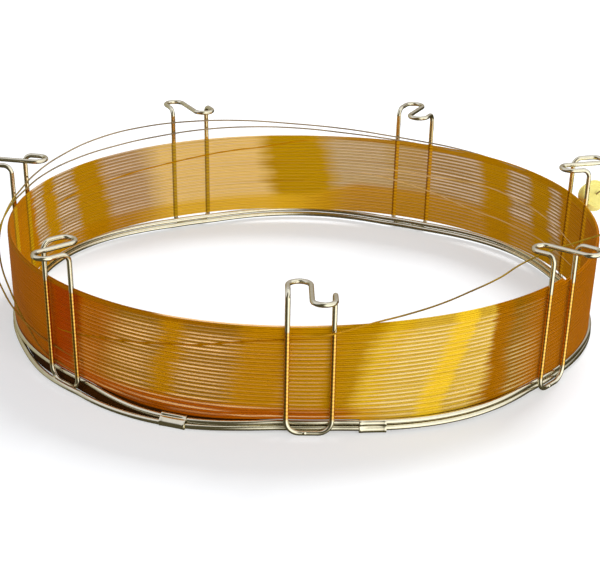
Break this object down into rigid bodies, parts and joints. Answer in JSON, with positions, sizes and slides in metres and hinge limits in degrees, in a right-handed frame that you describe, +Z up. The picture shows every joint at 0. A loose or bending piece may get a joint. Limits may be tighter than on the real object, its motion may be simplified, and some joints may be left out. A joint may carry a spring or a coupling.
{
  "type": "gc capillary column",
  "caption": "Amber capillary tube wound as a thin band inside a flared cage of bent steel wire posts on two wire rings, with loose turns and both ends in a rubber plug.",
  "frame": {"origin": "on the surface that the feet stand on, under the middle of the object's outline", "axes": "+Z up along the cage's axis, -Y towards the post that is in front in the picture, +X to its right; the cage's axis stands at X 0.0011, Y 0.0036"},
  "size_m": [0.191, 0.1882, 0.0413],
  "materials": {
    "steel": "polished drawn wire",
    "amber": "glossy amber polyimide coat",
    "rubber": "matt"
  },
  "bodies": {
    "root": {"post_1": "steel", "post_2": "steel", "post_3": "steel", "post_4": "steel", "post_5": "steel", "post_6": "steel", "post_7": "steel", "lower_ring": "steel", "upper_ring": "steel", "ring_sleeve_left": "steel", "ring_sleeve_right": "steel", "column_coil": "amber", "loose_turn_high": "amber", "loose_turn_low": "amber", "column_end_front": "amber", "column_end_back": "amber", "end_plug": "rubber"}
  },
  "joints": []
}
